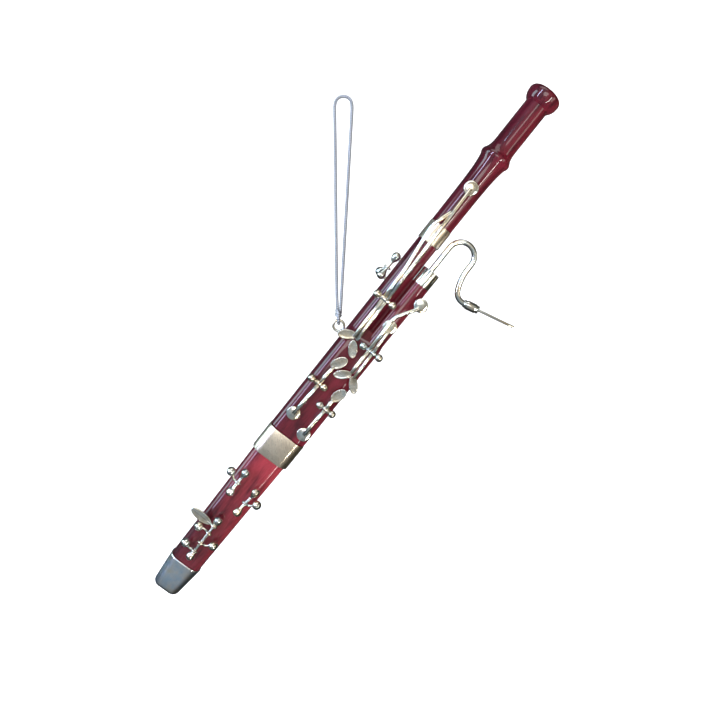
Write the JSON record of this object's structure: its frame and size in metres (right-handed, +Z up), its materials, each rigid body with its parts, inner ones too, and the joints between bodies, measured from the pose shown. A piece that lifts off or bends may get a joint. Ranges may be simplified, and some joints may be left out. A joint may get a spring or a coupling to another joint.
{
  "type": "hanging bassoon ornament",
  "caption": "Miniature bassoon that hangs at a slant from a thread through a small screw eye, with rocking and turning keys and a curved crook.",
  "frame": {"origin": "inside of the top of the thread's loop, where the hook it hangs on bears", "axes": "+Z up along the taut thread, +X towards the side that the bell leans to, -Y the way the keyed face looks"},
  "size_m": [0.0895, 0.0086, 0.114],
  "materials": {
    "varnished_wood": "gloss",
    "key_plate": "polished",
    "cap_plate": "polished",
    "pale_brass": "satin",
    "pad_leather": "matte",
    "metallic_thread": "satin"
  },
  "bodies": {
    "hanging_thread": {"thread": "metallic_thread", "thread_knot": "metallic_thread"},
    "ornament": {"band": "pale_brass", "bell": "varnished_wood", "boot": "varnished_wood", "boot_cap": "cap_plate", "boot_left_axle": "key_plate", "boot_left_posts": "key_plate", "boot_low_axle": "key_plate", "boot_low_posts": "key_plate", "boot_right_axle": "key_plate", "boot_right_posts": "key_plate", "ferrule": "pale_brass", "fork_pin": "key_plate", "fork_posts": "key_plate", "left_pin": "key_plate", "left_posts": "key_plate", "long_axle": "key_plate", "long_posts": "key_plate", "right_pin": "key_plate", "right_posts": "key_plate", "screw_eye": "key_plate", "upper_body": "varnished_wood", "wing_pin": "key_plate", "wing_posts": "key_plate", "wing_socket": "key_plate"},
    "fork_lever": {"fork_cup": "key_plate", "fork_pad": "pad_leather", "fork_rod": "key_plate", "fork_touch_left": "key_plate", "fork_touch_right": "key_plate"},
    "wing_upper_lever": {"wing_upper_cup": "key_plate", "wing_upper_pad": "pad_leather", "wing_upper_rod": "key_plate", "wing_upper_touch": "key_plate"},
    "wing_lower_lever": {"wing_lower_cup": "key_plate", "wing_lower_pad": "pad_leather", "wing_lower_rod": "key_plate", "wing_lower_touch": "key_plate"},
    "left_lever": {"left_cup": "key_plate", "left_pad": "pad_leather", "left_rod": "key_plate", "left_touch": "key_plate"},
    "right_lever": {"right_cup": "key_plate", "right_pad": "pad_leather", "right_rod": "key_plate", "right_touch": "key_plate"},
    "crook": {"bocal": "key_plate", "bocal_sleeve": "key_plate", "tip_rod": "key_plate"},
    "boot_left_key": {"boot_left_key": "key_plate"},
    "boot_right_key": {"boot_right_key": "key_plate"},
    "boot_key_1": {"boot_key_1": "key_plate"},
    "boot_key_2": {"boot_key_2": "key_plate"},
    "boot_key_3": {"boot_key_3": "key_plate"},
    "long_key": {"long_key": "key_plate"},
    "thumb_paddle": {"thumb_paddle": "key_plate"}
  },
  "joints": [
    {"name": "swing_on_thread", "type": "hinge", "parent": "hanging_thread", "child": "ornament", "pos_m": [0, 0, -0.0474], "axis": [0, 1, 0], "range_deg": [-25, 30]},
    {"name": "crook_turn", "type": "hinge", "parent": "ornament", "child": "crook", "pos_m": [0.01997, -0.0007, -0.03542], "axis": [0.6214, 0, 0.7835], "range_deg": [-60, 60]},
    {"name": "fork_lever_rock", "type": "hinge", "parent": "ornament", "child": "fork_lever", "pos_m": [0.01002, -0.004, -0.04137], "axis": [0.7835, 0, -0.6214], "range_deg": [0, 2.5], "stiffness_Nm_per_rad": 0.001, "springref_deg": -28.65},
    {"name": "wing_upper_rock", "type": "hinge", "parent": "ornament", "child": "wing_upper_lever", "pos_m": [0.00659, -0.004, -0.05224], "axis": [0.7835, 0, -0.6214], "range_deg": [0, 3], "stiffness_Nm_per_rad": 0.001, "springref_deg": -28.65},
    {"name": "wing_lower_rock", "type": "hinge", "parent": "ornament", "child": "wing_lower_lever", "pos_m": [0.00751, -0.004, -0.05298], "axis": [0.7835, 0, -0.6214], "range_deg": [0, 1.6], "stiffness_Nm_per_rad": 0.001, "springref_deg": -28.65},
    {"name": "left_lever_rock", "type": "hinge", "parent": "ornament", "child": "left_lever", "pos_m": [-0.00428, -0.004, -0.05951], "axis": [-0.7835, 0, 0.6214], "range_deg": [0, 4], "stiffness_Nm_per_rad": 0.001, "springref_deg": -28.65},
    {"name": "right_lever_rock", "type": "hinge", "parent": "ornament", "child": "right_lever", "pos_m": [-0.00292, -0.004, -0.06532], "axis": [-0.7835, 0, 0.6214], "range_deg": [0, 4], "stiffness_Nm_per_rad": 0.001, "springref_deg": -28.65},
    {"name": "boot_left_key_turn", "type": "hinge", "parent": "ornament", "child": "boot_left_key", "pos_m": [-0.02256, -0.00387, -0.08216], "axis": [-0.6282, 0, -0.7781], "range_deg": [0, 10], "stiffness_Nm_per_rad": 0.001, "springref_deg": -28.65},
    {"name": "boot_right_key_turn", "type": "hinge", "parent": "ornament", "child": "boot_right_key", "pos_m": [-0.021, -0.00387, -0.08709], "axis": [0.6749, 0, 0.7379], "range_deg": [0, 10], "stiffness_Nm_per_rad": 0.001, "springref_deg": -28.65},
    {"name": "boot_key_1_turn", "type": "hinge", "parent": "ornament", "child": "boot_key_1", "pos_m": [-0.02958, -0.00387, -0.09421], "axis": [-0.6178, 0, -0.7863], "range_deg": [0, 5], "stiffness_Nm_per_rad": 0.001, "springref_deg": -28.65},
    {"name": "boot_key_2_turn", "type": "hinge", "parent": "ornament", "child": "boot_key_2", "pos_m": [-0.03143, -0.00387, -0.09657], "axis": [0.6178, 0, 0.7863], "range_deg": [0, 5], "stiffness_Nm_per_rad": 0.001, "springref_deg": -28.65},
    {"name": "boot_key_3_turn", "type": "hinge", "parent": "ornament", "child": "boot_key_3", "pos_m": [-0.03297, -0.00387, -0.09853], "axis": [-0.6178, 0, -0.7863], "range_deg": [0, 5], "stiffness_Nm_per_rad": 0.001, "springref_deg": -28.65},
    {"name": "thumb_paddle_turn", "type": "hinge", "parent": "ornament", "child": "thumb_paddle", "pos_m": [-0.02831, -0.00387, -0.09259], "axis": [-0.6178, 0, -0.7863], "range_deg": [0, 8], "stiffness_Nm_per_rad": 0.001, "springref_deg": -28.65},
    {"name": "long_key_turn", "type": "hinge", "parent": "ornament", "child": "long_key", "pos_m": [0.01063, 0, -0.03471], "axis": [-0.6442, 0, -0.7648], "range_deg": [0, 10], "stiffness_Nm_per_rad": 0.001, "springref_deg": -28.65}
  ]
}
